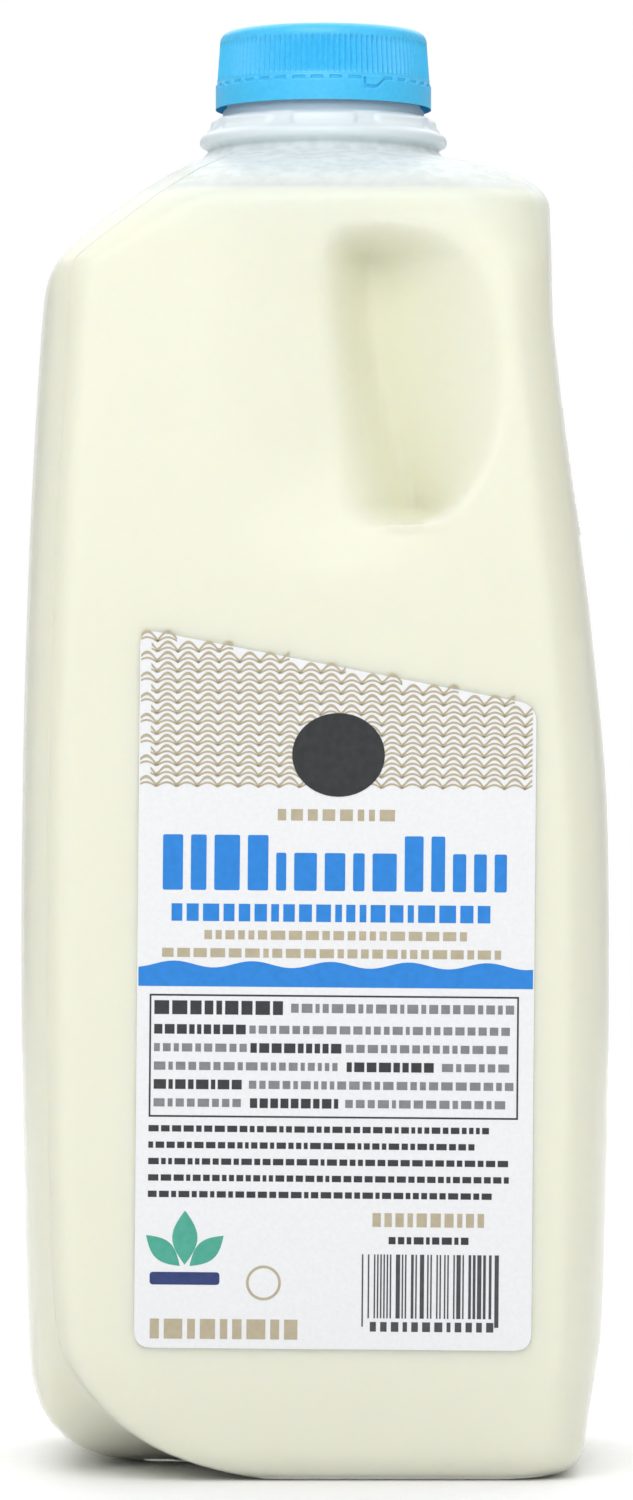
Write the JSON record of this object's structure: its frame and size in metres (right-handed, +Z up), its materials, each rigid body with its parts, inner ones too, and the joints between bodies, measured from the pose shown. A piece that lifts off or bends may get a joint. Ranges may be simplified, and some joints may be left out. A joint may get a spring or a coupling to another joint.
{
  "type": "plastic milk jug",
  "caption": "Square translucent plastic jug full of milk, with a pinch grip moulded into one corner, a ribbed snap cap and a paper label on the front.",
  "frame": {"origin": "on the surface the jug stands on, below the middle of the body", "axes": "+Z up along the neck; the label faces -Y; the pinch grip is at the +X, -Y corner"},
  "size_m": [0.1022, 0.1, 0.2467],
  "materials": {
    "jug_plastic": "satin",
    "milk": "smooth",
    "cap_plastic": "satin",
    "label_paper": "matt paper"
  },
  "bodies": {
    "root": {"jug": "jug_plastic", "milk": "milk", "cap": "cap_plastic", "label": "label_paper"}
  },
  "joints": []
}
